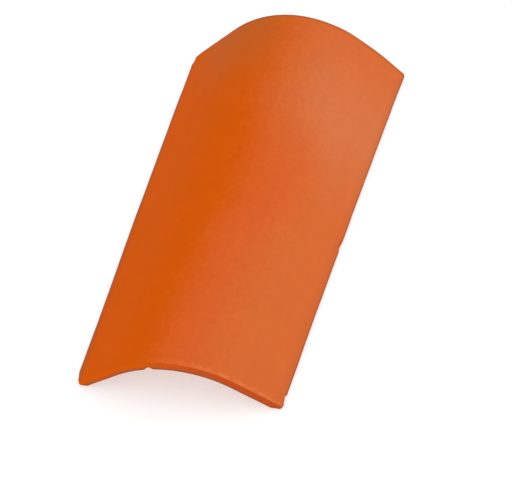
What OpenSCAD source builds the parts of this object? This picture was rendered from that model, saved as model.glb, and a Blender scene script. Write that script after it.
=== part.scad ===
/* [Tile] */
// Length from the narrow rim to the wide rim, in millimetres
tile_length = 400; // [300:5:500]
// Thickness of the fired wall, square to its surface
wall = 8; // [6:0.5:12]

/* [Wide end] */
// Width over the bed edges at the wide end
wide_width = 200; // [160:1:260]
// Height of the crest over the floor at the wide end
wide_rise = 60; // [40:1:90]
// Straight run of each flank at the wide end, from the toe up to the crest arc
wide_flank = 59; // [10:1:80]

/* [Narrow end] */
// Width over the bed edges at the narrow end
narrow_width = 160; // [120:1:200]
// Height of the crest over the floor at the narrow end
narrow_rise = 37; // [30:1:70]
// Straight run of each flank at the narrow end, from the toe up to the crest arc
narrow_flank = 36; // [10:1:60]

/* [Edges] */
// Height of the upright toe that ends each flank beside the bed
toe_height = 4; // [3.5:0.25:6]
// Rounding along the bed edges
bed_radius = 2; // [0.5:0.25:2.5]
// Rounding around both end rims
rim_radius = 1.5; // [0.5:0.25:2]

/* [Hidden] */
terracotta = [0.82, 0.37, 0.13];
// Facets of half a crest arc, of a rounded bed edge and of a rounded rim
crest_steps = 16;
edge_steps = 4;
rim_steps = 4;
// Smallest rounding that a bed edge keeps where the rim rounds it off
least_radius = 0.1;
// The section at each end: half its width, its rise and the straight run of its flank
wide_end = [wide_width / 2, wide_rise, wide_flank];
narrow_end = [narrow_width / 2, narrow_rise, narrow_flank];

// The three sizes of an end's section
function half_width(end) = end[0];
function rise(end) = end[1];
function flank(end) = end[2];

// Height of the crest over the top of the toe
function arch_rise(end) = rise(end) - toe_height;

// Outer radius of the crest arc that runs smoothly into both flanks
function crest_radius(end) =
    (pow(half_width(end), 2) + pow(arch_rise(end), 2) - pow(flank(end), 2)) / (2 * arch_rise(end));

// Angle between a flank and the floor
function flank_slope(end) =
    atan2(crest_radius(end), flank(end)) + atan2(arch_rise(end) - crest_radius(end), half_width(end));

// Points of an arc between two angles, both ends included
function arc(centre, radius, from, to, steps) =
    [for (i = [0 : steps])
        let (angle = from + (to - from) * i / steps)
        centre + radius * [cos(angle), sin(angle)]];

// Right half of a section whose outline is drawn in by an inset: from the crest down the outer
// side, round the toe and across the flat bed, then up the inner side to the crest again
function half_section(end, inset) =
    let (
        slope = flank_slope(end),
        radius = crest_radius(end),
        crest_centre = [0, rise(end) - radius],
        rounding = max(bed_radius - inset, least_radius),
        reach = inset + rounding,
        toe_x = half_width(end) - reach,
        toe_z = toe_height - reach * (1 - sin(slope)) / cos(slope),
        bed_width = (wall - toe_height * cos(slope) - reach * (1 - cos(slope))) / sin(slope),
        inner_x = half_width(end) - bed_width
    )
    concat(
        arc(crest_centre, radius - inset, 90, 90 - slope, crest_steps),
        arc([toe_x, toe_z], rounding, 90 - slope, 0, edge_steps),
        arc([toe_x, reach], rounding, 0, -90, edge_steps),
        arc([inner_x, reach], rounding, -90, -90 - slope, edge_steps),
        arc(crest_centre, radius - wall + inset, 90 - slope, 90, crest_steps)
    );

// Whole section as a closed outline, clockwise as seen from the narrow end
function section(end, inset) =
    let (
        right = half_section(end, inset),
        left = [for (i = [len(right) - 2 : -1 : 1]) [-right[i][0], right[i][1]]]
    )
    concat(right, left);

// A section stood up across the tile at a place along its length
function ring(end, inset, place) = [for (p = section(end, inset)) [p[0], place, p[1]]];

// Rings that round off the rim of one end, from its end face inwards
function rim_rings(end, face, inwards) =
    [for (i = [0 : rim_steps])
        let (turn = 90 * i / rim_steps)
        ring(end, rim_radius * (1 - sin(turn)), face + inwards * rim_radius * (1 - cos(turn)))];

// Faces across the wall from its outer to its inner line, which close a section that starts at a
// given point of the skin, clockwise as seen from the narrow end
function end_face(first, count) =
    let (inner = count / 2)
    [for (i = [0 : inner / 2 - 1])
        let (
            right = [i, i + 1, inner - i - 1, inner - i],
            left = [for (k = [3 : -1 : 0]) (count - right[k]) % count]
        )
        for (strip = [right, left])
            let (corners = strip[1] == strip[2] ? [strip[0], strip[1], strip[3]] : strip)
            [for (corner = corners) first + corner]];

// A face seen from its other side
function reversed(face) = [for (i = [len(face) - 1 : -1 : 0]) face[i]];

// A closed skin over a row of rings
module skin(rings) {
    count = len(rings[0]);
    last = len(rings) - 1;
    sides = [for (k = [0 : last - 1], i = [0 : count - 1])
        let (a = k * count + i, b = k * count + (i + 1) % count)
        each [[a, a + count, b + count], [a, b + count, b]]];
    far_face = [for (face = end_face(last * count, count)) reversed(face)];
    polyhedron([for (r = rings) each r], concat(end_face(0, count), sides, far_face));
}

// The fired tile, crest up on its two bed edges, with its narrow end towards -Y
module roof_tile() {
    narrow_rings = rim_rings(narrow_end, -tile_length / 2, 1);
    wide_rings = rim_rings(wide_end, tile_length / 2, -1);
    color(terracotta) skin(concat(narrow_rings, [for (i = [rim_steps : -1 : 0]) wide_rings[i]]));
}

roof_tile();
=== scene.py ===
import math
from collections import namedtuple

import bmesh
import bpy
from mathutils import Matrix, Vector, noise


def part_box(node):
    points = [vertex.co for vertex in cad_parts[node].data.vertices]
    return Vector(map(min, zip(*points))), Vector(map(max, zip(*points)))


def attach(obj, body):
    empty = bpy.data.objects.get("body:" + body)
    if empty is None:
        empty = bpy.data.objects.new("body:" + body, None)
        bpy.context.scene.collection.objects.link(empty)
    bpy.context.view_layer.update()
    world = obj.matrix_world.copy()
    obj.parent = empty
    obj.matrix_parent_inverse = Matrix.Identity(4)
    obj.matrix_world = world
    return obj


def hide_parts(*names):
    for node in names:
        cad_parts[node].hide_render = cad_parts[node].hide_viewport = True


bl_info = {
    "name": "Clay Roof Tile",
    "version": (1, 0, 0),
    "blender": (4, 5, 0),
    "location": "3D View > Sidebar > Roof Tile",
    "description": "Shapes a tapered, arched roof tile of fired clay and sets it on a pale floor",
    "category": "Add Mesh",
}

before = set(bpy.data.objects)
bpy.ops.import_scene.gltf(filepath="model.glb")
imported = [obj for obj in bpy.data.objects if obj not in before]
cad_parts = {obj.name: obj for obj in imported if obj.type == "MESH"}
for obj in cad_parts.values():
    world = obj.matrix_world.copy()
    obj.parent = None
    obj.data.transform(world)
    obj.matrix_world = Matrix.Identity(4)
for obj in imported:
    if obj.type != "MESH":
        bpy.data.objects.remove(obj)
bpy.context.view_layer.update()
tile_low, tile_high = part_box("roof_tile")
tile_span = tile_high - tile_low

# Facets of half a crest arc, cuts across a flank, through the wall and along the tile, and facets
# of a rounded edge
CREST_STEPS = 24
FLANK_CUTS = 24
WALL_CUTS = 3
LENGTH_CUTS = 159
EDGE_SEGMENTS = 4
# Edges that turn by more than this are rounded, in radians
SHARP_TURN = 0.4
# Points nearer to each other, or to a cutting plane, than this count as one, in metres
TOUCH = 1e-6
# One end of the tile: half its width, its rise, the straight run of its flank and its place along Y
TileEnd = namedtuple("TileEnd", "half_width rise flank place")

# What share of the bow, the draw-in, the fullness and the dark line along the foot each side of the tile
# took
TileSide = namedtuple("TileSide", "bow draw_in fullness smoke")
LEFT_SIDE = TileSide(0.3, 1.0, 0.0, 0.95)
RIGHT_SIDE = TileSide(1.0, 0.3, 1.0, 0.25)

# An uneven pattern in the shape: its waves to the metre, and a number that tells it from the others
Ripple = namedtuple("Ripple", "waves seed")
SLOW_WAVES = Ripple(13, 3)
QUICK_WAVES = Ripple(55, 7)
RIM_WANDER = Ripple(45, 9)
FOOT_WANDER = Ripple(35, 5)
FOOT_SWAY = Ripple(6, 155)
BREAK_GRAIN = Ripple(700, 11)
# A wandering edge changes this many times slower away from the edge than along it
EDGE_STRETCH = 20
# The waves fade out over this height at the feet, and the rims' straying over this length
FOOT_FADE = 0.014
RIM_FADE = 0.03
# Across the tile, where the bulge of the fuller flank rises and where it falls away again
FLANK_RISE = (0.03, 0.06)
FLANK_FALL = (0.1, 0.078)
# Across the tile, where the wide rim starts to slant and where the slant would be full
RIM_SLANT = (0.066, 0.108)
# Depth below the floor of the axis that the wall bends about
ARCH_DEPTH = 0.045

# How far a face has to be turned to start to count as underside, cut end, toe, upper side of a flank,
# upper side of a rim or lip, and where it counts in full
UNDERSIDE_TURN = (0.1, 0.4)
CUT_TURN = (0.5, 0.95)
TOE_TURN = (0.75, 0.97)
FLANK_TURN = (-0.3, 0.0)
RIM_TURN = (-0.1, 0.1)
LIP_TURN = (0.2, 0.6)
# How far over the floor the underside's finish starts and where it is full
UNDERSIDE_START = (0.002, 0.006)
# How far over the inner face the dark line on a cut end starts and where it is full
LIP_DARKENING = (0.0042, 0.0018)
# How far from the wide rim the dark line on the upper face starts and where it is full
RIM_DARKENING = (0.0060, -0.0005)
# How far over the floor the dark line on a flank starts and where it is full
FOOT_DARKENING = (0.0105, 0.0035)

# A bite out of the clay: the ball that takes it, and the way into the clay
Bite = namedtuple("Bite", "centre radius inward")
# A spot of the mesh whose coarse cells are cut finer, so that it can hold small bites
Spot = namedtuple("Spot", "centre reach cuts bites")
# Edges longer than this are coarse, in metres
COARSE = 0.0011
# Broken edges shorter than this are taken out, in metres
SLIVER = 0.0001
# How far a broken face strays from its ball, in metres, but at most one part in so many of its radius
BREAK_ROUGHNESS = 0.0004
BREAK_LIMIT = 5
INTO_RIGHT_FOOT = Vector((-1, 0, 0))
INTO_LEFT_FOOT = Vector((1, 0, 0))
INTO_LEFT_BED = Vector((0.6, 0, 0.8))
INTO_RIGHT_CORNER = Vector((-0.8, 0, 0.6))
INTO_RIM = Vector((0, 0.6, 0.8))
INTO_CREST = Vector((0, 0, -1))
SPOTS = (
    # Two chips along the right foot
    Spot(
        Vector((0.0885, -0.0295, 0.003)),
        0.012,
        3,
        (
            Bite(Vector((0.1014, -0.0285, 0.003)), 0.0153, INTO_RIGHT_FOOT),
            Bite(Vector((0.0915, -0.0330, 0.003)), 0.0050, INTO_RIGHT_FOOT),
        ),
    ),
    Spot(
        Vector((0.0800, -0.1890, 0.002)),
        0.008,
        6,
        (
            Bite(Vector((0.0803, -0.1886, 0.0012)), 0.0028, INTO_RIGHT_FOOT),
            Bite(Vector((0.0810, -0.1912, 0.0010)), 0.0027, INTO_RIGHT_FOOT),
            Bite(Vector((0.0819, -0.1936, 0.0010)), 0.0026, INTO_RIGHT_FOOT),
        ),
    ),
    # The worn near corner of the right foot
    Spot(
        Vector((0.0790, -0.1990, 0.0010)),
        0.005,
        5,
        (Bite(Vector((0.0826, -0.2012, -0.0022)), 0.0054, INTO_RIGHT_CORNER),),
    ),
    # The worn near and far corners of the left foot
    Spot(
        Vector((-0.0785, -0.1965, 0.002)),
        0.012,
        4,
        (
            Bite(Vector((-0.1068, -0.2035, 0.0020)), 0.0300, INTO_LEFT_FOOT),
            Bite(Vector((-0.0803, -0.2005, -0.0040)), 0.0064, INTO_LEFT_BED),
        ),
    ),
    Spot(
        Vector((-0.0985, 0.1960, 0.003)),
        0.009,
        4,
        (
            Bite(Vector((-0.1034, 0.1943, 0.0055)), 0.0075, INTO_LEFT_FOOT),
            Bite(Vector((-0.1080, 0.1990, 0.0045)), 0.0122, INTO_LEFT_FOOT),
        ),
    ),
    # A nick in the lower edge of the narrow rim, and the crumbled edge beside it
    Spot(
        Vector((-0.0165, -0.2000, 0.0275)),
        0.009,
        5,
        (
            Bite(Vector((-0.0182, -0.2008, 0.0262)), 0.0040, INTO_RIM),
            Bite(Vector((-0.0150, -0.2006, 0.0262)), 0.0026, INTO_RIM),
        ),
    ),
    # Pinholes over the nick
    Spot(
        Vector((-0.0160, -0.1935, 0.0358)),
        0.006,
        7,
        (
            Bite(Vector((-0.0168, -0.1965, 0.0360)), 0.0008, INTO_CREST),
            Bite(Vector((-0.0150, -0.1940, 0.0363)), 0.0007, INTO_CREST),
            Bite(Vector((-0.0175, -0.1918, 0.0361)), 0.0006, INTO_CREST),
            Bite(Vector((-0.0158, -0.1900, 0.0365)), 0.0007, INTO_CREST),
        ),
    ),
)

# A cloudy pattern in the colour: its waves to the metre, its octaves, how strong the finer ones are,
# and how much it deepens or lightens the clay
Mottle = namedtuple("Mottle", "waves detail roughness change", defaults=(0.0,))
DRIFT = Mottle(8.0, 2.0, 0.5)
CLOUD = Mottle(38.0, 5.0, 0.6, 0.02)
PATCH = Mottle(190.0, 3.0, 0.6, 0.02)
STREAK = Mottle(170.0, 3.0, 0.5, 0.01)
GRAIN = Mottle(1100.0, 2.0, 0.5, 0.012)
SAND = Mottle(700.0, 4.0, 0.7)
# Smoothing streaks are drawn out along the tile
STREAK_DRAW = (1.0, 0.03, 1.0)
# The patterns and the marks that the clay's colours are worked out from
Patterns = namedtuple("Patterns", "drift cloud patch streak grain sand")
Marks = namedtuple("Marks", "inside cut toe smoked worn")

# A smooth change: where it starts, where it ends, and its first and last value
Ramp = namedtuple("Ramp", "low high first last", defaults=(0.0, 1.0))
# How far the patterns move the borders of the firing tones, in metres
DRIFT_SHIFT = 0.05
PATCH_SHIFT = 0.026
CLOUD_SHIFT = 0.06
# Across the tile, the change from the deep orange flank to the painted sheen that pales the right flank
# and crest
SHEEN_ACROSS = Ramp(-0.009, 0.077)
# Where along the tile that border bows out most, and how far it bows
BORDER_MIDDLE = 0.03
BORDER_BOW = Ramp(0.2, 0.05, 0.0, 0.018)
# Where along the tile the painted sheen is strongest, and how it weakens away from there
SHEEN_PEAK_PLACE = 0.095
SHEEN_PEAK_SHARE = Ramp(0.12, 0.0, 0.57, 1.0)
# Along the tile, how the redder flush between the deep orange and the painted sheen grows towards the
# narrow end
FLUSH_ALONG = Ramp(0.15, -0.03, 0.0, 0.9)
# Across the tile, the middle of the smoke beside the wide rim, and how it grows along and across
SMOKE_MIDDLE = -0.02
SMOKE_ALONG = Ramp(0.11, 0.24, 0.0, 0.95)
SMOKE_ACROSS = Ramp(0.06, 0.015)
# The part of a cloudy pattern over which the clay goes from its deepest to its lightest
DEPTH_RANGE = (0.25, 0.75)
# Cells to the metre that may hold a speck, how ragged and large a speck is, and which cells hold one
SPECK_CELLS = 230.0
SPECK_STRAY = 0.25
SPECK_SIZE = Ramp(0.15, 0.06)
SPECK_CHOICE = Ramp(0.92, 1.0, 0.0, 0.4)
# How much the painted highlight pales the rims' rounding, and how far and in which patches it pales the
# clay behind it
ROUNDING_HIGHLIGHT = 1.6
HIGHLIGHT_ALONG = Ramp(-0.1945, -0.1985, 0.0, 0.6)
HIGHLIGHT_PATCHES = Ramp(0.3, 0.6)
# How much of the cut clay with its painted shade, the painted toe shade, the dark edge line, bare clay
# between the sand and raw clay shows
CUT_SHARE = Ramp(0.4, 1.0, 0.0, 0.9)
TOE_SHADE_SHARE = 0.65
LINE_SHARE = Ramp(0.25, 0.6, 0.5, 0.95)
BARE_SHARE = Ramp(0.35, 0.65, 0.0, 0.55)
CHIP_SHARE = 0.5
# The part of the grain over which the roughness changes, by how much, and how much rougher sand is
ROUGHNESS_RANGE = (0.2, 0.8)
ROUGHNESS_SPREAD = 0.06
SAND_ROUGHNESS = 0.25
# What little shine unglazed clay has
SHINE = 0.012
# How much the streaks, the grain and the sand add to the fine relief, its strength, and its depth
STREAK_RELIEF = 0.5
GRAIN_RELIEF = 0.25
SAND_RELIEF = 1.5
RELIEF_STRENGTH = 0.35
RELIEF_DEPTH = 0.0004

# From the middle of the floor to its sides, and how matt its paper is
FLOOR_REACH = 6
PAPER_ROUGHNESS = 0.9
# Where the soft lights hang, and how wide they are
KEY_PLACE = (1.5, 0.5, 1.2)
FRONT_PLACE = (-0.3, -1.9, 0.7)
LIGHT_WIDTH = 1.4
# Width of the camera's sensor, in millimetres
SENSOR_WIDTH = 36
WHITE = (1, 1, 1, 1)


class TileSizes(bpy.types.PropertyGroup):
    """Sizes of the fired tile"""

    length: bpy.props.FloatProperty(
        name="Length",
        description="From the narrow rim to the wide rim",
        default=tile_span.y,
        min=0.1,
        unit="LENGTH",
    )
    wall: bpy.props.FloatProperty(
        name="Wall",
        description="Thickness of the fired wall",
        default=0.008,
        min=0.004,
        unit="LENGTH",
    )
    wide_width: bpy.props.FloatProperty(
        name="Wide Width",
        description="Width over the bed edges at the wide end",
        default=tile_span.x,
        min=0.1,
        unit="LENGTH",
    )
    wide_rise: bpy.props.FloatProperty(
        name="Wide Rise",
        description="Height of the crest at the wide end",
        default=tile_span.z,
        min=0.02,
        unit="LENGTH",
    )
    wide_flank: bpy.props.FloatProperty(
        name="Wide Flank",
        description="Straight run of a flank at the wide end",
        default=0.059,
        min=0.005,
        unit="LENGTH",
    )
    narrow_width: bpy.props.FloatProperty(
        name="Narrow Width",
        description="Width over the bed edges at the narrow end",
        default=0.16,
        min=0.1,
        unit="LENGTH",
    )
    narrow_rise: bpy.props.FloatProperty(
        name="Narrow Rise",
        description="Height of the crest at the narrow end",
        default=0.037,
        min=0.02,
        unit="LENGTH",
    )
    narrow_flank: bpy.props.FloatProperty(
        name="Narrow Flank",
        description="Straight run of a flank at the narrow end",
        default=0.036,
        min=0.005,
        unit="LENGTH",
    )
    toe_height: bpy.props.FloatProperty(
        name="Toe Height",
        description="Height of the upright toe beside each bed edge",
        default=0.004,
        min=0.001,
        unit="LENGTH",
    )
    edge_radius: bpy.props.FloatProperty(
        name="Edge Radius",
        description="Rounding of the rims, toes and bed edges",
        default=0.0009,
        min=0.0002,
        unit="LENGTH",
    )
    wave: bpy.props.FloatProperty(
        name="Wave",
        description="Depth of the slow waves that forming and firing leave in the wall",
        default=0.0003,
        min=0.0,
        unit="LENGTH",
    )
    wander: bpy.props.FloatProperty(
        name="Edge Wander",
        description="How far the rims and bed edges stray inwards from a straight cut",
        default=0.0004,
        min=0.0,
        unit="LENGTH",
    )
    sway: bpy.props.FloatProperty(
        name="Sway",
        description="How far the feet sway from a straight line",
        default=0.002,
        min=0.0,
        unit="LENGTH",
    )
    bow: bpy.props.FloatProperty(
        name="Bow",
        description="How far a foot bows inwards halfway along the tile",
        default=0.001,
        min=0.0,
        unit="LENGTH",
    )
    draw_in: bpy.props.FloatProperty(
        name="Draw-in",
        description="How far a foot was drawn in at the wide end as the clay dried",
        default=0.0014,
        min=0.0,
        unit="LENGTH",
    )
    fullness: bpy.props.FloatProperty(
        name="Fullness",
        description="How far a flank bulges at the wide end",
        default=0.0011,
        min=0.0,
        unit="LENGTH",
    )
    slant: bpy.props.FloatProperty(
        name="Slant",
        description="How far the wide rim was cut short towards its right corner",
        default=0.0036,
        min=0.0,
        unit="LENGTH",
    )


class ClayFinish(bpy.types.PropertyGroup):
    """Colours and finish of the fired clay"""

    # The clay's own deep orange, which the left flank keeps without the painted sheen
    deep_orange: bpy.props.FloatVectorProperty(
        name="Deep Orange",
        description="Clay of the flank that was fired hardest",
        subtype="COLOR",
        size=3,
        min=0.0,
        max=1.0,
        default=(0.600, 0.088, 0.0012),
    )
    # Painted sheen: a paler colour on the right flank and crest that stands in for the soft light's sheen
    # there
    painted_sheen: bpy.props.FloatVectorProperty(
        name="Pale Bloom",
        description="Clay of the paler flank and crest",
        subtype="COLOR",
        size=3,
        min=0.0,
        max=1.0,
        default=(0.610, 0.157, 0.053),
    )
    # Redder clay at the border of the painted sheen
    kiln_flush: bpy.props.FloatVectorProperty(
        name="Kiln Flush",
        description="Redder clay where the two firing tones meet",
        subtype="COLOR",
        size=3,
        min=0.0,
        max=1.0,
        default=(0.655, 0.103, 0.024),
    )
    kiln_brown: bpy.props.FloatVectorProperty(
        name="Kiln Brown",
        description="Faint smoke stain beside the wide rim",
        subtype="COLOR",
        size=3,
        min=0.0,
        max=1.0,
        default=(0.49, 0.106, 0.017),
    )
    # Redder clay of the cut rims, darker as painted shade where the end faces turn away from the light
    cut_red_and_shade: bpy.props.FloatVectorProperty(
        name="Cut Red",
        description="Clay of the cut rims",
        subtype="COLOR",
        size=3,
        min=0.0,
        max=1.0,
        default=(0.50, 0.058, 0.010),
    )
    # Painted highlight: a paler colour on the rounded rims and the strip behind the narrow rim, where
    # light catches them
    painted_rim_highlight: bpy.props.FloatVectorProperty(
        name="Rubbed Edge",
        description="Clay along the rounded rims, rubbed paler",
        subtype="COLOR",
        size=3,
        min=0.0,
        max=1.0,
        default=(0.72, 0.19, 0.058),
    )
    # Painted shade: darker colour on the upright toes, where they turn away from the light beside the
    # floor
    painted_toe_shade: bpy.props.FloatVectorProperty(
        name="Foot Stain",
        description="Darker clay of the upright toes, stained by the drying bed",
        subtype="COLOR",
        size=3,
        min=0.0,
        max=1.0,
        default=(0.31, 0.076, 0.028),
    )
    # A darker brown line along the feet, the wide rim and the lower edge of the cut ends
    dark_edge_line: bpy.props.FloatVectorProperty(
        name="Edge Smoke",
        description="Thin brown line that the kiln left along the edges",
        subtype="COLOR",
        size=3,
        min=0.0,
        max=1.0,
        default=(0.30, 0.085, 0.03),
    )
    raw_clay: bpy.props.FloatVectorProperty(
        name="Raw Clay",
        description="Clay inside a chip",
        subtype="COLOR",
        size=3,
        min=0.0,
        max=1.0,
        default=(0.50, 0.095, 0.028),
    )
    sand: bpy.props.FloatVectorProperty(
        name="Moulding Sand",
        description="Dry, sanded underside",
        subtype="COLOR",
        size=3,
        min=0.0,
        max=1.0,
        default=(0.56, 0.155, 0.046),
    )
    speck: bpy.props.FloatVectorProperty(
        name="Specks",
        description="Iron specks in the clay",
        subtype="COLOR",
        size=3,
        min=0.0,
        max=1.0,
        default=(0.34, 0.045, 0.006),
    )
    roughness: bpy.props.FloatProperty(
        name="Roughness",
        description="Roughness of the smooth upper face",
        subtype="FACTOR",
        default=0.62,
        min=0.0,
        max=1.0,
    )


class StudioStage(bpy.types.PropertyGroup):
    """Floor, light and camera"""

    floor_colour: bpy.props.FloatVectorProperty(
        name="Floor",
        description="Colour of the pale floor",
        subtype="COLOR",
        size=3,
        min=0.0,
        max=1.0,
        default=(0.53, 0.53, 0.525),
    )
    floor_glow: bpy.props.FloatProperty(
        name="Floor Glow",
        description="Light that the floor gives off, which keeps the shadows pale",
        default=0.5,
        min=0.0,
    )
    sky_strength: bpy.props.FloatProperty(
        name="Sky",
        description="Strength of the even light from all round",
        default=1.0,
        min=0.0,
    )
    key_power: bpy.props.FloatProperty(
        name="Key Light",
        description="Power of the soft light on the right",
        default=6.0,
        min=0.0,
        unit="POWER",
    )
    front_power: bpy.props.FloatProperty(
        name="Front Light",
        description="Power of the soft light in front of the narrow end",
        default=3.5,
        min=0.0,
        unit="POWER",
    )
    camera_place: bpy.props.FloatVectorProperty(
        name="Camera",
        description="Place of the camera",
        subtype="TRANSLATION",
        size=3,
        default=(0.3331, -0.9040, 0.8677),
    )
    camera_turn: bpy.props.FloatVectorProperty(
        name="Camera Turn",
        description="Turn to the right, tilt down and roll of the camera",
        subtype="EULER",
        size=3,
        default=(math.radians(-19.815), math.radians(42.935), math.radians(-8.491)),
    )
    lens: bpy.props.FloatProperty(
        name="Lens",
        description="Focal length in millimetres on a 36 mm wide sensor",
        default=110.26,
        min=1.0,
        unit="CAMERA",
    )


def crest_radius(end, toe_height):
    """Outer radius of the crest arc that runs smoothly into both flanks"""
    arch_rise = end.rise - toe_height
    return (end.half_width**2 + arch_rise**2 - end.flank**2) / (2 * arch_rise)


def flank_slope(end, toe_height):
    """Angle between a flank and the floor"""
    radius = crest_radius(end, toe_height)
    arch_rise = end.rise - toe_height
    return math.atan2(radius, end.flank) + math.atan2(arch_rise - radius, end.half_width)


def tile_ends(sizes):
    """The narrow and the wide end"""
    half_length = sizes.length / 2
    return (
        TileEnd(sizes.narrow_width / 2, sizes.narrow_rise, sizes.narrow_flank, -half_length),
        TileEnd(sizes.wide_width / 2, sizes.wide_rise, sizes.wide_flank, half_length),
    )


def height_in_wall(place, end, sizes):
    """Height of a point of an end's section over the inner face"""
    radius = crest_radius(end, sizes.toe_height)
    offset = Vector((abs(place.x), place.z - end.rise + radius))
    lean = min(math.atan2(offset.x, offset.y), flank_slope(end, sizes.toe_height))
    return offset.dot(Vector((math.sin(lean), math.cos(lean)))) - radius + sizes.wall


def arch_line(tile, end, inset, sizes):
    """Draw the right half of an end's outer or inner line, from the crest to below the floor"""
    known = set(tile.edges)
    radius = crest_radius(end, sizes.toe_height)
    slope = flank_slope(end, sizes.toe_height)
    centre = Vector((0, end.place, end.rise - radius))
    crest = bmesh.ops.create_vert(tile, co=centre + Vector((0, 0, radius - inset)))["vert"]
    arc = bmesh.ops.spin(
        tile, geom=crest, cent=centre, axis=(0, 1, 0), angle=slope, steps=CREST_STEPS
    )
    arc_end = [part for part in arc["geom_last"] if isinstance(part, bmesh.types.BMVert)]
    foot = bmesh.ops.extrude_vert_indiv(tile, verts=arc_end)["verts"]
    run = end.flank + 2 * sizes.wall
    bmesh.ops.translate(tile, verts=foot, vec=(run * math.cos(slope), 0, -run * math.sin(slope)))
    return [edge for edge in tile.edges if edge not in known]


def trim(tile, point, outwards):
    """Cut off the clay beyond a plane and close the cut"""
    everything = tile.verts[:] + tile.edges[:] + tile.faces[:]
    cut = bmesh.ops.bisect_plane(
        tile, geom=everything, dist=TOUCH, plane_co=point, plane_no=outwards, clear_outer=True
    )
    brink = [part for part in cut["geom_cut"] if isinstance(part, bmesh.types.BMEdge)]
    bmesh.ops.contextual_create(tile, geom=brink)


def split(tile, edges, cuts):
    """Cut edges into equal lengths, and the faces between them with them"""
    bmesh.ops.subdivide_edges(tile, edges=edges, cuts=cuts, use_grid_fill=True)


def span(edge):
    """Vector along an edge"""
    return edge.verts[1].co - edge.verts[0].co


def form_slab(tile, sizes):
    """Form the tapered arch, trim its feet flat, round off its edges and cut it into small cells"""
    half_length = sizes.length / 2
    narrow, wide = tile_ends(sizes)
    outer_narrow = arch_line(tile, narrow, 0, sizes)
    inner_narrow = arch_line(tile, narrow, sizes.wall, sizes)
    outer_wide = arch_line(tile, wide, 0, sizes)
    inner_wide = arch_line(tile, wide, sizes.wall, sizes)
    for first, second in (
        (outer_narrow, outer_wide),
        (inner_narrow, inner_wide),
        (outer_narrow, inner_narrow),
        (outer_wide, inner_wide),
    ):
        bmesh.ops.bridge_loops(tile, edges=first + second)
    trim(tile, (0, 0, 0), (0, 0, -1))
    toe_lean = narrow.half_width - wide.half_width
    trim(tile, (wide.half_width, half_length, 0), (sizes.length, toe_lean, 0))
    everything = tile.verts[:] + tile.edges[:] + tile.faces[:]
    bmesh.ops.mirror(tile, geom=everything, axis="X", merge_dist=TOUCH)
    bmesh.ops.remove_doubles(tile, verts=tile.verts[:], dist=TOUCH)
    bmesh.ops.recalc_face_normals(tile, faces=tile.faces[:])
    sharp = [edge for edge in tile.edges if edge.calc_face_angle(0) > SHARP_TURN]
    bmesh.ops.bevel(
        tile,
        geom=sharp,
        offset=sizes.edge_radius,
        offset_type="OFFSET",
        affect="EDGES",
        segments=EDGE_SEGMENTS,
        profile=0.5,
        material=-1,
        clamp_overlap=True,
        loop_slide=True,
    )
    across = [edge for edge in tile.edges if abs(span(edge).y) < TOUCH]
    split(tile, [edge for edge in across if edge.calc_length() > 2 * sizes.wall], FLANK_CUTS)
    through = [
        edge
        for edge in tile.edges
        if abs(span(edge).y) < TOUCH and sizes.wall / 2 < edge.calc_length() < sizes.wall
    ]
    split(tile, through, WALL_CUTS)
    split(tile, [edge for edge in tile.edges if abs(span(edge).y) > half_length], LENGTH_CUTS)


def put_in_order(tile):
    """Order points, edges and faces by their place, because rounding leaves them in no fixed order"""
    for rank, corner in enumerate(sorted(tile.verts, key=lambda corner: corner.co[:])):
        corner.index = rank
    tile.verts.sort()
    for parts in (tile.edges, tile.faces):
        ranked = sorted(parts, key=lambda part: sorted(corner.index for corner in part.verts))
        for rank, part in enumerate(ranked):
            part.index = rank
        parts.sort()


def ease(low, high, value):
    """Smooth step from 0 at low to 1 at high"""
    share = min(max((value - low) / (high - low), 0), 1)
    return share * share * (3 - 2 * share)


def uneven(place, ripple):
    """Smooth pattern from 0 to 1"""
    start = Vector((ripple.seed, ripple.seed, ripple.seed))
    share = 0.5 + 0.5 * noise.noise(place * ripple.waves + start)
    return min(max(share, 0), 1)


def mark_faces(tile, sizes):
    """Mark the underside, the cut ends, the toes and the darker edges for the clay's colours"""
    inside = tile.verts.layers.float.new("inside")
    cut = tile.verts.layers.float.new("cut")
    toe = tile.verts.layers.float.new("toe")
    smoked = tile.verts.layers.float.new("smoked")
    tile.verts.layers.float.new("worn")
    tile.normal_update()
    narrow, wide = tile_ends(sizes)
    half_length = sizes.length / 2
    for corner in tile.verts:
        place = corner.co
        turn = corner.normal
        corner[inside] = ease(*UNDERSIDE_TURN, -turn.z) * ease(*UNDERSIDE_START, place.z)
        corner[cut] = ease(*CUT_TURN, abs(turn.y))
        # The toe mark carries the painted shade on the upright toes
        corner[toe] = ease(*TOE_TURN, abs(turn.x))
        uncut = 1 - corner[cut]
        side = LEFT_SIDE if place.x < 0 else RIGHT_SIDE
        over_toe = side.smoke * ease(*FOOT_DARKENING, place.z) ** 2 * ease(*FLANK_TURN, turn.z)
        wide_rim = ease(*RIM_DARKENING, half_length - place.y) ** 2 * ease(*RIM_TURN, turn.z)
        end = narrow if place.y < 0 else wide
        over_lip = height_in_wall(place, end, sizes)
        # On the right, the dark line on a cut end runs on along the bed edge
        if side is RIGHT_SIDE:
            over_lip = min(over_lip, place.z)
        lip = ease(*LIP_DARKENING, over_lip) * ease(*LIP_TURN, abs(turn.y))
        corner[smoked] = max(over_toe * uncut, wide_rim * uncut, lip)


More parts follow.
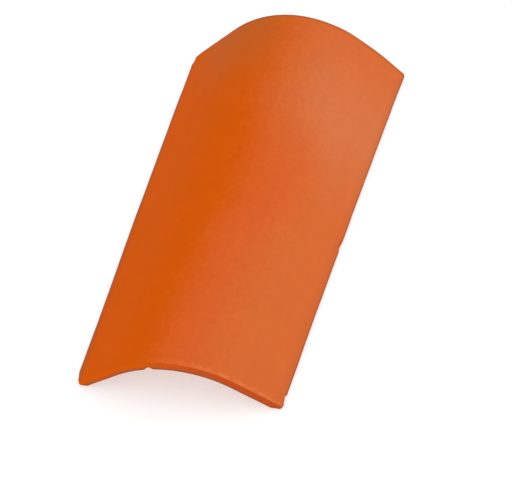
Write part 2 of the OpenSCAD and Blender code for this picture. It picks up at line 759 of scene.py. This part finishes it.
def press_by_hand(tile, sizes):
    """Give the wall waves and a fuller flank, let the rims stray, and let the feet stray, sway and bow"""
    half_length = sizes.length / 2
    for corner in tile.verts:
        place = corner.co.copy()
        side = LEFT_SIDE if place.x < 0 else RIGHT_SIDE
        outward = Vector((place.x, 0, place.z + ARCH_DEPTH)).normalized()
        over_foot = ease(0, FOOT_FADE, place.z)
        # The quick waves are half as deep as the slow ones
        wave = sizes.wave * uneven(place, SLOW_WAVES) + sizes.wave / 2 * uneven(place, QUICK_WAVES)
        corner.co -= outward * wave * over_foot
        bulge = ease(*FLANK_RISE, abs(place.x)) * ease(*FLANK_FALL, abs(place.x))
        bulge *= side.fullness * ease(0, half_length, place.y)
        corner.co += outward * sizes.fullness * bulge
        rim = ease(half_length - RIM_FADE, half_length, abs(place.y))
        along_rim = Vector((place.x, place.y / EDGE_STRETCH, place.z))
        stray = sizes.wander * uneven(along_rim, RIM_WANDER)
        if place.y > 0:
            stray += sizes.slant * ease(*RIM_SLANT, place.x)
        corner.co.y -= math.copysign(rim * stray, place.y)
        foot = 1 - over_foot
        along_foot = Vector((place.x / EDGE_STRETCH, place.y, 0))
        stray = sizes.wander * uneven(along_foot, FOOT_WANDER)
        stray += sizes.sway * (uneven(Vector((place.x, place.y, 0)), FOOT_SWAY) - 0.5)
        stray += sizes.bow * side.bow * (1 - (place.y / half_length) ** 2)
        stray += sizes.draw_in * side.draw_in * ease(half_length / 2, half_length, place.y)
        corner.co.x -= math.copysign(foot * stray, place.x)


def chip(tile, spot):
    """Cut a spot of the mesh finer and take its bites out of the clay, with uneven broken faces"""
    worn = tile.verts.layers.float["worn"]
    near = {corner for corner in tile.verts if (corner.co - spot.centre).length < spot.reach}
    coarse = [edge for edge in tile.edges if edge.calc_length() > COARSE]
    split(tile, [edge for edge in coarse if near.issuperset(edge.verts)], spot.cuts)
    for bite in spot.bites:
        stray = min(BREAK_ROUGHNESS, bite.radius / BREAK_LIMIT)
        for corner in tile.verts:
            offset = corner.co - bite.centre
            if offset.length > bite.radius:
                continue
            along = offset.dot(bite.inward)
            radius = bite.radius - stray * uneven(corner.co - bite.inward * along, BREAK_GRAIN)
            if offset.length < radius:
                depth = math.sqrt(along**2 - offset.length_squared + radius**2) - along
                corner.co += bite.inward * depth
                corner[worn] = 1


def clear_slivers(tile):
    """Take out the slivers that the bites left where they pressed faces together"""
    worn = tile.verts.layers.float["worn"]
    broken = [edge for edge in tile.edges if all(corner[worn] for corner in edge.verts)]
    bmesh.ops.dissolve_degenerate(tile, dist=SLIVER, edges=broken)


def make_piece(name, tile, material):
    """Turn a bmesh into a smooth-shaded object of the given material"""
    mesh = bpy.data.meshes.new(name)
    tile.to_mesh(mesh)
    tile.free()
    mesh.shade_smooth()
    mesh.materials.append(material)
    piece = bpy.data.objects.new(name, mesh)
    bpy.context.scene.collection.objects.link(piece)
    return piece


class ClayNodes:
    """Short calls that add the nodes of a clay pattern and link them"""

    def __init__(self, tree):
        self.tree = tree

    def add(self, kind, inputs, **settings):
        """Add a node with its settings, and feed its inputs with values or other nodes' outputs"""
        node = self.tree.nodes.new(kind)
        for name, value in settings.items():
            setattr(node, name, value)
        for name, value in inputs.items():
            self.feed(node.inputs[name], value)
        return node

    def feed(self, socket, value):
        """Link an output to a socket, or set the socket to a value"""
        if isinstance(value, bpy.types.NodeSocket):
            self.tree.links.new(value, socket)
        else:
            socket.default_value = value

    def mark(self, name):
        """A mark that was set on the points of the mesh"""
        return self.add("ShaderNodeAttribute", {}, attribute_name=name).outputs["Fac"]

    def mottle(self, place, look):
        """Cloudy pattern from 0 to 1"""
        inputs = {
            "Vector": place,
            "Scale": look.waves,
            "Detail": look.detail,
            "Roughness": look.roughness,
        }
        return self.add("ShaderNodeTexNoise", inputs).outputs["Fac"]

    def ease(self, value, ramp):
        """Smooth change of a value along a ramp"""
        inputs = {
            "Value": value,
            "From Min": ramp.low,
            "From Max": ramp.high,
            "To Min": ramp.first,
            "To Max": ramp.last,
        }
        node = self.add("ShaderNodeMapRange", inputs, interpolation_type="SMOOTHSTEP")
        return node.outputs["Result"]

    def maths(self, operation, *values):
        """Result of one maths operation"""
        node = self.add("ShaderNodeMath", {}, operation=operation)
        for socket, value in zip(node.inputs, values):
            self.feed(socket, value)
        return node.outputs["Value"]

    def times(self, first, second):
        """One value times another"""
        return self.maths("MULTIPLY", first, second)

    def less(self, first, second):
        """One value less another"""
        return self.maths("SUBTRACT", first, second)

    def moved(self, value, pattern, reach):
        """A value that a pattern moves by up to a reach"""
        return self.maths("MULTIPLY_ADD", pattern, reach, value)

    def away(self, value, place):
        """How far a value is from a place, to either side"""
        return self.maths("ABSOLUTE", self.less(value, place))

    def tint(self, share, first, second, blend="MIX"):
        """Colour between two others"""
        node = self.add("ShaderNodeMix", {}, data_type="RGBA", blend_type=blend)
        # The node's sockets for numbers, vectors and colours bear the same names, so these go by number
        self.feed(node.inputs[0], share)
        self.feed(node.inputs[6], first)
        self.feed(node.inputs[7], second)
        return node.outputs[2]


def opaque(colour):
    """A colour with its alpha"""
    return (*colour, 1.0)


def tones_and_painted_sheen(clay, axes, patterns, finish):
    """Clay colour with a painted sheen that pales the right flank and crest, and how far it goes from
    deep orange to that painted sheen
    """
    across = clay.moved(axes["X"], patterns.drift, DRIFT_SHIFT)
    across = clay.less(across, clay.ease(clay.away(axes["Y"], BORDER_MIDDLE), BORDER_BOW))
    across = clay.moved(across, clay.less(patterns.patch, 0.5), PATCH_SHIFT)
    # Painted sheen: the share of the paler colour, which grows across the tile towards the right flank
    sheen_share = clay.ease(across, SHEEN_ACROSS)
    sheen_peak = clay.ease(clay.away(axes["Y"], SHEEN_PEAK_PLACE), SHEEN_PEAK_SHARE)
    share = clay.times(sheen_share, sheen_peak)
    colour = clay.tint(share, opaque(finish.deep_orange), opaque(finish.painted_sheen))
    # The flush is strongest halfway between the deep orange and the painted sheen, and there it is half
    between = clay.times(sheen_share, clay.less(2.0, clay.times(sheen_share, 2.0)))
    flush = clay.times(between, clay.ease(axes["Y"], FLUSH_ALONG))
    colour = clay.tint(flush, colour, opaque(finish.kiln_flush))
    along = clay.moved(axes["Y"], patterns.cloud, CLOUD_SHIFT)
    from_smoke = clay.away(across, SMOKE_MIDDLE)
    smoke = clay.times(clay.ease(along, SMOKE_ALONG), clay.ease(from_smoke, SMOKE_ACROSS))
    colour = clay.tint(smoke, colour, opaque(finish.kiln_brown))
    return colour, sheen_share


def deepened(clay, colour, patterns):
    """Add cloudiness, smoothing streaks and fine grain, each as a slight change of depth"""
    for look, pattern in (
        (CLOUD, patterns.cloud),
        (PATCH, patterns.patch),
        (STREAK, patterns.streak),
        (GRAIN, patterns.grain),
    ):
        depth = clay.ease(pattern, Ramp(*DEPTH_RANGE, 1.0 - look.change, 1.0 + look.change))
        colour = clay.tint(1.0, colour, depth, "MULTIPLY")
    return colour


def specked(clay, colour, place, patterns, finish):
    """Add small iron specks of uneven outline in about one cell of twelve"""
    cells = clay.add("ShaderNodeTexVoronoi", {"Vector": place, "Scale": SPECK_CELLS}).outputs
    reach = clay.moved(cells["Distance"], clay.less(patterns.grain, 0.5), SPECK_STRAY)
    chosen = clay.add("ShaderNodeSeparateColor", {"Color": cells["Color"]}).outputs["Red"]
    dot = clay.times(clay.ease(reach, SPECK_SIZE), clay.ease(chosen, SPECK_CHOICE))
    return clay.tint(dot, colour, opaque(finish.speck))


def edged(clay, colour, sheen_share, axes, patterns, marks, finish):
    """Add the painted highlight on the rounded rims, the redder cut rims with painted shade, painted
    shade on the toes and the dark line along the edges
    """
    uncut = clay.less(1.0, marks.cut)
    # Painted highlight: the rounded rims and the strip behind the narrow rim are paled where the painted
    # sheen lies
    rounding = clay.times(clay.times(marks.cut, uncut), ROUNDING_HIGHLIGHT)
    highlight_behind_rim = clay.times(clay.ease(axes["Y"], HIGHLIGHT_ALONG), clay.ease(patterns.patch, HIGHLIGHT_PATCHES))
    highlit = clay.maths("MAXIMUM", rounding, clay.times(highlight_behind_rim, uncut))
    colour = clay.tint(clay.times(highlit, sheen_share), colour, opaque(finish.painted_rim_highlight))
    # Painted shade: the cut rims are redder and darker where the painted sheen lies, deep orange on the
    # other side
    rim = clay.tint(sheen_share, opaque(finish.deep_orange), opaque(finish.cut_red_and_shade))
    colour = clay.tint(clay.ease(marks.cut, CUT_SHARE), colour, rim)
    # Painted shade on the upright toes
    colour = clay.tint(clay.times(marks.toe, TOE_SHADE_SHARE), colour, opaque(finish.painted_toe_shade))
    # A darker brown line along the feet, the wide rim and the lower edge of the cut ends
    smoked = clay.times(marks.smoked, clay.ease(patterns.cloud, LINE_SHARE))
    return clay.tint(smoked, colour, opaque(finish.dark_edge_line))


def sanded_and_chipped(clay, colour, patterns, marks, finish):
    """Add the moulding sand of the underside and the raw clay of the chips"""
    bare = clay.ease(patterns.sand, BARE_SHARE)
    colour = clay.tint(marks.inside, colour, clay.tint(bare, opaque(finish.sand), colour))
    return clay.tint(clay.times(marks.worn, CHIP_SHARE), colour, opaque(finish.raw_clay))


def dry_roughness(clay, patterns, marks, finish):
    """Roughness of a dry, matt surface, rougher on the sanded underside and in chips"""
    smoothest = finish.roughness - ROUGHNESS_SPREAD
    roughest = finish.roughness + ROUGHNESS_SPREAD
    dry = clay.ease(patterns.grain, Ramp(*ROUGHNESS_RANGE, smoothest, roughest))
    return clay.moved(dry, clay.maths("MAXIMUM", marks.inside, marks.worn), SAND_ROUGHNESS)


def fine_relief(clay, patterns, marks):
    """Slopes of the streaks, the grain and the moulding sand"""
    height = clay.moved(clay.times(patterns.grain, GRAIN_RELIEF), patterns.streak, STREAK_RELIEF)
    height = clay.moved(height, patterns.sand, clay.times(marks.inside, SAND_RELIEF))
    inputs = {"Height": height, "Strength": RELIEF_STRENGTH, "Distance": RELIEF_DEPTH}
    return clay.add("ShaderNodeBump", inputs).outputs["Normal"]


def clay_material(finish):
    """Unglazed fired clay with its tones and painted sheen, streaks, grain, specks, edges with painted
    highlight and shade, sand and chips
    """
    material = bpy.data.materials.new("fired_clay")
    material.use_nodes = True
    clay = ClayNodes(material.node_tree)
    place = clay.add("ShaderNodeTexCoord", {}).outputs["Object"]
    axes = clay.add("ShaderNodeSeparateXYZ", {"Vector": place}).outputs
    drawn = clay.add("ShaderNodeMapping", {"Vector": place, "Scale": STREAK_DRAW}).outputs["Vector"]
    patterns = Patterns(
        drift=clay.mottle(place, DRIFT),
        cloud=clay.mottle(place, CLOUD),
        patch=clay.mottle(place, PATCH),
        streak=clay.mottle(drawn, STREAK),
        grain=clay.mottle(place, GRAIN),
        sand=clay.mottle(place, SAND),
    )
    marks = Marks(*[clay.mark(name) for name in Marks._fields])
    colour, sheen_share = tones_and_painted_sheen(clay, axes, patterns, finish)
    colour = deepened(clay, colour, patterns)
    colour = specked(clay, colour, place, patterns, finish)
    colour = edged(clay, colour, sheen_share, axes, patterns, marks, finish)
    colour = sanded_and_chipped(clay, colour, patterns, marks, finish)
    shader = material.node_tree.nodes["Principled BSDF"]
    clay.feed(shader.inputs["Base Color"], colour)
    clay.feed(shader.inputs["Roughness"], dry_roughness(clay, patterns, marks, finish))
    clay.feed(shader.inputs["Specular IOR Level"], SHINE)
    clay.feed(shader.inputs["Normal"], fine_relief(clay, patterns, marks))
    return material


def glowing_paper(stage):
    """Matt white paper, lit a little from below as on a light table"""
    material = bpy.data.materials.new("floor_paper")
    material.use_nodes = True
    shader = material.node_tree.nodes["Principled BSDF"]
    shader.inputs["Base Color"].default_value = opaque(stage.floor_colour)
    shader.inputs["Roughness"].default_value = PAPER_ROUGHNESS
    shader.inputs["Specular IOR Level"].default_value = 0.0
    shader.inputs["Emission Color"].default_value = WHITE
    shader.inputs["Emission Strength"].default_value = stage.floor_glow
    return material


def lay_floor(stage):
    """Lay a wide, plain floor under the tile"""
    floor = bmesh.new()
    bmesh.ops.create_grid(floor, x_segments=1, y_segments=1, size=FLOOR_REACH)
    piece = make_piece("studio_floor", floor, glowing_paper(stage))


def hang_lights(stage):
    """Light the stage evenly, with one soft light on the right and one in front"""
    sky = bpy.data.worlds.new("soft_sky")
    sky.use_nodes = True
    background = sky.node_tree.nodes["Background"]
    background.inputs["Color"].default_value = WHITE
    background.inputs["Strength"].default_value = stage.sky_strength
    bpy.context.scene.world = sky
    hang_light("key_light", KEY_PLACE, stage.key_power)
    hang_light("front_light", FRONT_PLACE, stage.front_power)


def hang_light(name, place, power):
    """Hang a round soft light that faces the tile"""
    lamp = bpy.data.lights.new(name, "AREA")
    lamp.shape = "DISK"
    lamp.size = LIGHT_WIDTH
    lamp.energy = power
    light = bpy.data.objects.new(name, lamp)
    light.location = place
    light.rotation_euler = (-light.location).to_track_quat("-Z", "Y").to_euler()
    bpy.context.scene.collection.objects.link(light)


def aim_camera(stage):
    """Place the camera at the photo's angle"""
    yaw, pitch, roll = stage.camera_turn
    forward = Vector(
        (
            math.sin(yaw) * math.cos(pitch),
            math.cos(yaw) * math.cos(pitch),
            -math.sin(pitch),
        )
    )
    level = Vector((math.cos(yaw), -math.sin(yaw), 0))
    above = level.cross(forward)
    across = level * math.cos(roll) + above * math.sin(roll)
    upright = above * math.cos(roll) - level * math.sin(roll)
    optics = bpy.data.cameras.new("photo_camera")
    optics.sensor_fit = "HORIZONTAL"
    optics.sensor_width = SENSOR_WIDTH
    optics.lens = stage.lens
    camera = bpy.data.objects.new("photo_camera", optics)
    turn = Matrix((across, upright, -forward)).transposed().to_4x4()
    camera.matrix_world = Matrix.Translation(stage.camera_place) @ turn
    bpy.context.scene.collection.objects.link(camera)
    bpy.context.scene.camera = camera


class ROOFTILE_OT_form_tile(bpy.types.Operator):
    """Form the fired tile and give it its clay finish"""

    bl_idname = "rooftile.form_tile"
    bl_label = "Form Fired Tile"

    def execute(self, context):
        tile = bmesh.new()
        sizes = context.scene.tile_sizes
        form_slab(tile, sizes)
        put_in_order(tile)
        mark_faces(tile, sizes)
        press_by_hand(tile, sizes)
        for spot in SPOTS:
            chip(tile, spot)
        clear_slivers(tile)
        many_sided = [face for face in tile.faces if len(face.verts) > 4]
        bmesh.ops.triangulate(tile, faces=many_sided)
        piece = make_piece("fired_tile", tile, clay_material(context.scene.clay_finish))
        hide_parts("roof_tile")
        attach(piece, "root")
        return {"FINISHED"}


class ROOFTILE_OT_set_stage(bpy.types.Operator):
    """Lay the pale floor and set up the soft light and the camera"""

    bl_idname = "rooftile.set_stage"
    bl_label = "Set Stage"

    def execute(self, context):
        stage = context.scene.studio_stage
        lay_floor(stage)
        hang_lights(stage)
        aim_camera(stage)
        context.scene.view_settings.view_transform = "Standard"
        return {"FINISHED"}


class ROOFTILE_PT_sidebar(bpy.types.Panel):
    """Sizes, finish and stage of the clay roof tile"""

    bl_idname = "ROOFTILE_PT_sidebar"
    bl_label = "Clay Roof Tile"
    bl_space_type = "VIEW_3D"
    bl_region_type = "UI"
    bl_category = "Roof Tile"

    def draw(self, context):
        for group_name, group in GROUPS:
            for name in group.__annotations__:
                self.layout.prop(getattr(context.scene, group_name), name)
        for operator in OPERATORS:
            self.layout.operator(operator.bl_idname)


GROUPS = (
    ("tile_sizes", TileSizes),
    ("clay_finish", ClayFinish),
    ("studio_stage", StudioStage),
)
OPERATORS = (ROOFTILE_OT_form_tile, ROOFTILE_OT_set_stage)


def register():
    """Make the groups, operators and panel known to Blender"""
    for name, group in GROUPS:
        bpy.utils.register_class(group)
        setattr(bpy.types.Scene, name, bpy.props.PointerProperty(type=group))
    for operator in OPERATORS:
        bpy.utils.register_class(operator)
    bpy.utils.register_class(ROOFTILE_PT_sidebar)


def unregister():
    """Take the panel, operators and groups away again"""
    bpy.utils.unregister_class(ROOFTILE_PT_sidebar)
    for operator in reversed(OPERATORS):
        bpy.utils.unregister_class(operator)
    for name, group in reversed(GROUPS):
        delattr(bpy.types.Scene, name)
        bpy.utils.unregister_class(group)


def main():
    """Form the tile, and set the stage"""
    register()
    bpy.ops.rooftile.form_tile()
    bpy.ops.rooftile.set_stage()


if __name__ == "__main__":
    main()
